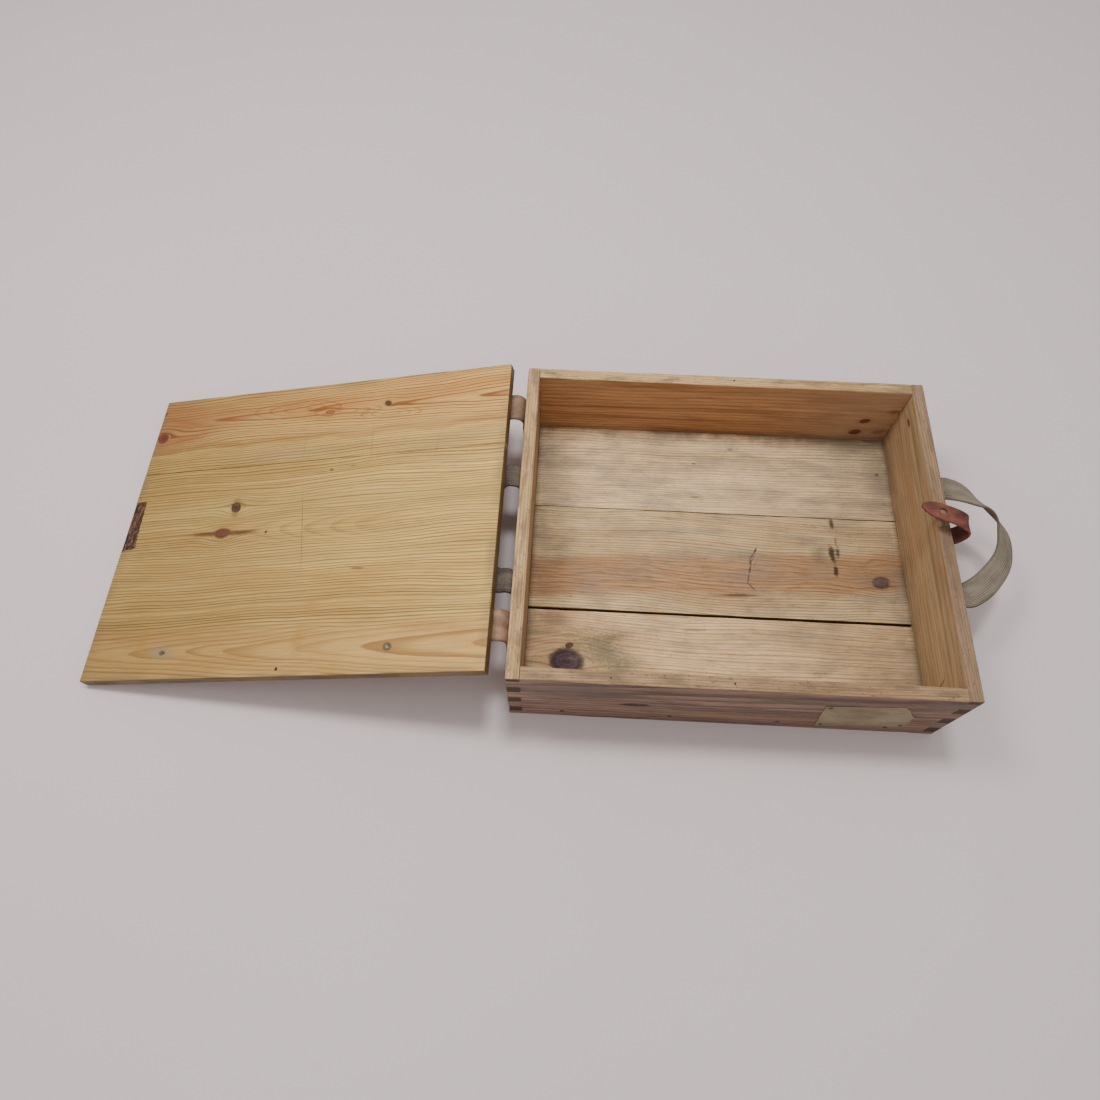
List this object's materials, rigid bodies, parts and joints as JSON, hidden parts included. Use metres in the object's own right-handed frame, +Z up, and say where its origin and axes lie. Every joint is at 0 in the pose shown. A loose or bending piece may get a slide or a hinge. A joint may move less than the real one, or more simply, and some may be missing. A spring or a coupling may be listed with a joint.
{
  "type": "wooden case with hinged lid",
  "caption": "Shallow finger-jointed wooden case on battens, its boarded lid laid open on leather strap hinges, with a webbing carrying handle at each end and a leather closing tongue.",
  "frame": {"origin": "middle of the case's underside, on the face of its middle floor batten, where the case stands on a surface", "axes": "+Z up; +X along the case, away from the lid hinge; -Y to the front, the side with the paper label. The lid is stored open, with its free edge resting on the surface the case stands on"},
  "size_m": [0.8931, 0.335, 0.1226],
  "materials": {
    "weathered_pine": "weathered, bare, dirty",
    "floor_pine": "bare, dusty, matte",
    "lid_pine": "bare, lightly handled, matte",
    "batten_pine": "bare, matte",
    "strap_leather": "worn, dry, matte",
    "tongue_leather": "worn, dark, slightly polished",
    "webbing": "stiff woven, soiled",
    "nail_steel": "dull, spotted with rust",
    "label_paper": "paper, aged and rubbed"
  },
  "bodies": {
    "case": {"left_end_board": "weathered_pine", "right_end_board": "weathered_pine", "front_board": "weathered_pine", "back_board": "weathered_pine", "floor_board_back": "floor_pine", "floor_board_middle": "floor_pine", "floor_board_front": "floor_pine", "floor_batten_left": "batten_pine", "floor_batten_middle": "batten_pine", "floor_batten_right": "batten_pine", "floor_batten_nails": "nail_steel", "floor_side_nails": "nail_steel", "rim_nails": "nail_steel", "paper_label": "label_paper", "label_tacks": "nail_steel", "hinge_back_flex": "strap_leather", "hinge_back_box_tab": "strap_leather", "hinge_front_flex": "strap_leather", "hinge_front_box_tab": "strap_leather", "hinge_box_nails": "nail_steel", "left_handle_tabs": "webbing", "left_handle_bends": "webbing", "left_handle_nails": "nail_steel", "right_handle_tabs": "webbing", "right_handle_bends": "webbing", "right_handle_nails": "nail_steel", "tongue_tab": "tongue_leather", "tongue_flex": "tongue_leather", "tongue_nails": "nail_steel"},
    "lid": {"lid_board_back": "lid_pine", "lid_board_front": "lid_pine", "lid_batten_hinge_side": "batten_pine", "lid_batten_free_side": "batten_pine", "lid_batten_nails": "nail_steel", "lid_stud": "nail_steel", "hinge_back_lid_tab": "strap_leather", "hinge_front_lid_tab": "strap_leather", "hinge_lid_nails": "nail_steel"},
    "left_handle": {"left_handle": "webbing"},
    "right_handle": {"right_handle": "webbing"},
    "closing_tongue": {"closing_tongue": "tongue_leather"}
  },
  "joints": [
    {"name": "lid_hinge", "type": "hinge", "parent": "case", "child": "lid", "pos_m": [-0.20977, 0, 0.10606], "axis": [0, 1, 0], "range_deg": [0, 193.34], "deforming": ["hinge_back_flex", "hinge_front_flex"]},
    {"name": "right_handle_swing", "type": "hinge", "parent": "case", "child": "right_handle", "pos_m": [0.203, 0.003, 0.076], "axis": [0, -1, 0], "range_deg": [-60, 75], "deforming": ["right_handle_bends"]},
    {"name": "left_handle_swing", "type": "hinge", "parent": "case", "child": "left_handle", "pos_m": [-0.203, -0.004, 0.076], "axis": [0, 1, 0], "range_deg": [-55, 8], "deforming": ["left_handle_bends"]},
    {"name": "tongue_swing", "type": "hinge", "parent": "case", "child": "closing_tongue", "pos_m": [0.2035, 0, 0.097], "axis": [0, 1, 0], "range_deg": [0, 110], "deforming": ["tongue_flex"]}
  ]
}
